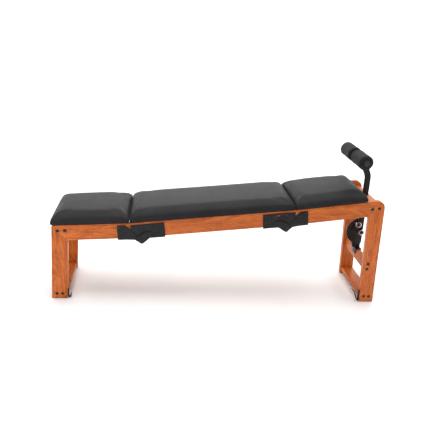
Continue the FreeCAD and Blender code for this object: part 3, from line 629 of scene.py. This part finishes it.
def roller(side, sign):
    """Foam sleeve with pressed-in ends and an uneven, slightly waisted skin."""
    node = side + "_roller_foam"
    low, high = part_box(node)
    centre = ((low.x + high.x) / 2, (low.z + high.z) / 2)
    outer = (high.x - low.x) / 2
    start, end = sorted((abs(low.y), abs(high.y)))
    length = end - start
    face = outer - FOAM_EDGE
    outline = [
        (FOAM_BORE, start + FOAM_CHAMFER),
        (FOAM_BORE + FOAM_LIP, start + FOAM_DISH),
        (face - FOAM_RIM, start),
    ]
    outline += [
        (outer - FOAM_EDGE + FOAM_EDGE * math.sin(a), start + FOAM_EDGE - FOAM_EDGE * math.cos(a))
        for a in (math.radians(15 * i) for i in range(7))
    ]
    straight = length - 2 * FOAM_EDGE
    outline += [(outer, start + FOAM_EDGE + straight * i / FOAM_STEPS) for i in range(1, FOAM_STEPS)]
    outline += [
        (outer - FOAM_EDGE + FOAM_EDGE * math.cos(a), end - FOAM_EDGE + FOAM_EDGE * math.sin(a))
        for a in (math.radians(15 * i) for i in range(7))
    ]
    outline += [
        (face - FOAM_RIM, end),
        (FOAM_BORE + FOAM_LIP, end - FOAM_DISH),
        (FOAM_BORE, end - FOAM_CHAMFER),
    ]
    work = bmesh.new()
    lathe(work, [(radius, sign * y) for radius, y in outline], centre, FOAM_TURNS)
    for vert in work.verts:
        offset = Vector((vert.co.x - centre[0], 0, vert.co.z - centre[1]))
        radius = offset.length
        if radius < outer * 0.6:
            continue
        along = (abs(vert.co.y) - start) / length
        waist = FOAM_WAIST * math.sin(math.pi * along)
        dent = noise.noise(vert.co * 55.0) * 0.0006 + noise.noise(vert.co * 190.0) * 0.00025
        vert.co -= offset / radius * (waist + FOAM_ALLOWANCE - dent)
    bmesh.ops.recalc_face_normals(work, faces=work.faces)
    finish = finishes["roller_foam"]
    piece = new_piece(side + "_foam_sleeve", work, body_of_node[node], finish)
    shade_by_angle(piece, 60)
    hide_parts(node)


# ---- Assembly ----

DECKS = (("low", 1.7), ("middle", 5.3), ("high", 9.1))
ROLLERS = (("front", -1), ("rear", 1))
replaced_by_hand = {name + "_pad" for name, seed in DECKS}
replaced_by_hand |= {side + "_roller_foam" for side, sign in ROLLERS}

for deck_name, deck_seed in DECKS:
    cushion(deck_name, deck_seed)
for roller_side, roller_sign in ROLLERS:
    roller(roller_side, roller_sign)
for node_name, cad_object in frame["nodes"].items():
    if node_name in replaced_by_hand:
        continue
    node_slot = slot_of_node[node_name]
    if node_slot in EDGE_ROUNDING:
        soften(node_name)
        continue
    for holder in cad_object.material_slots:
        holder.material = finishes[node_slot]


# ---- Stage, lights and camera ----

def sweep():
    """Pale floor that curves up into a backdrop."""
    graph = Graph("pale_paper", Roughness=0.85, Specular_IOR_Level=0.15)
    mottle = graph.noise(graph.place(), 3.0, 2.0)
    graph.drive("Base Color", graph.ramp(mottle, [(0.3, (0.93, 0.93, 0.93)), (0.7, (0.95, 0.95, 0.95))]))
    half_width, front, back, radius, top = 14.0, -12.0, 9.0, 3.0, 9.0
    profile = [(front, 0.0)]
    profile += [
        (back - radius + radius * math.sin(a), radius - radius * math.cos(a))
        for a in (math.radians(6 * i) for i in range(16))
    ]
    profile.append((back, top))
    work = bmesh.new()
    rows = [[work.verts.new((x, y, z)) for x in (-half_width, half_width)] for y, z in profile]
    for first, second in zip(rows, rows[1:]):
        work.faces.new((first[0], first[1], second[1], second[0]))
    mesh = bpy.data.meshes.new("sweep")
    work.to_mesh(mesh)
    work.free()
    mesh.materials.append(graph.material)
    mesh.shade_smooth()
    floor = bpy.data.objects.new("sweep", mesh)
    bpy.context.scene.collection.objects.link(floor)


def area_light(name, place, aim, size, power):
    data = bpy.data.lights.new(name, "AREA")
    data.shape = "RECTANGLE"
    data.size, data.size_y = size
    data.energy = power
    lamp = bpy.data.objects.new(name, data)
    lamp.location = place
    lamp.rotation_euler = (Vector(aim) - Vector(place)).to_track_quat("-Z", "Y").to_euler()
    bpy.context.scene.collection.objects.link(lamp)


def camera():
    """Looks along a yawed and pitched direction, with a small roll."""
    forward = Vector((
        math.sin(CAMERA_YAW) * math.cos(CAMERA_PITCH),
        math.cos(CAMERA_YAW) * math.cos(CAMERA_PITCH),
        -math.sin(CAMERA_PITCH),
    ))
    right = Vector((math.cos(CAMERA_YAW), -math.sin(CAMERA_YAW), 0))
    up = right.cross(forward)
    turned_right = right * math.cos(CAMERA_ROLL) + up * math.sin(CAMERA_ROLL)
    turned_up = up * math.cos(CAMERA_ROLL) - right * math.sin(CAMERA_ROLL)
    data = bpy.data.cameras.new("camera")
    data.lens = CAMERA_LENS_MM
    data.sensor_width = SENSOR_MM
    eye = bpy.data.objects.new("camera", data)
    axes = Matrix((turned_right, turned_up, -forward)).transposed()
    eye.matrix_world = Matrix.Translation(CAMERA_PLACE) @ axes.to_4x4()
    bpy.context.scene.collection.objects.link(eye)
    bpy.context.scene.camera = eye


sweep()
for light in LIGHTS:
    area_light(*light)
world = bpy.data.worlds.new("studio")
world.use_nodes = True
world.node_tree.nodes["Background"].inputs["Color"].default_value = (1.0, 1.0, 1.0, 1.0)
world.node_tree.nodes["Background"].inputs["Strength"].default_value = WORLD_STRENGTH
bpy.context.scene.world = world
bpy.context.scene.view_settings.view_transform = "Standard"
camera()
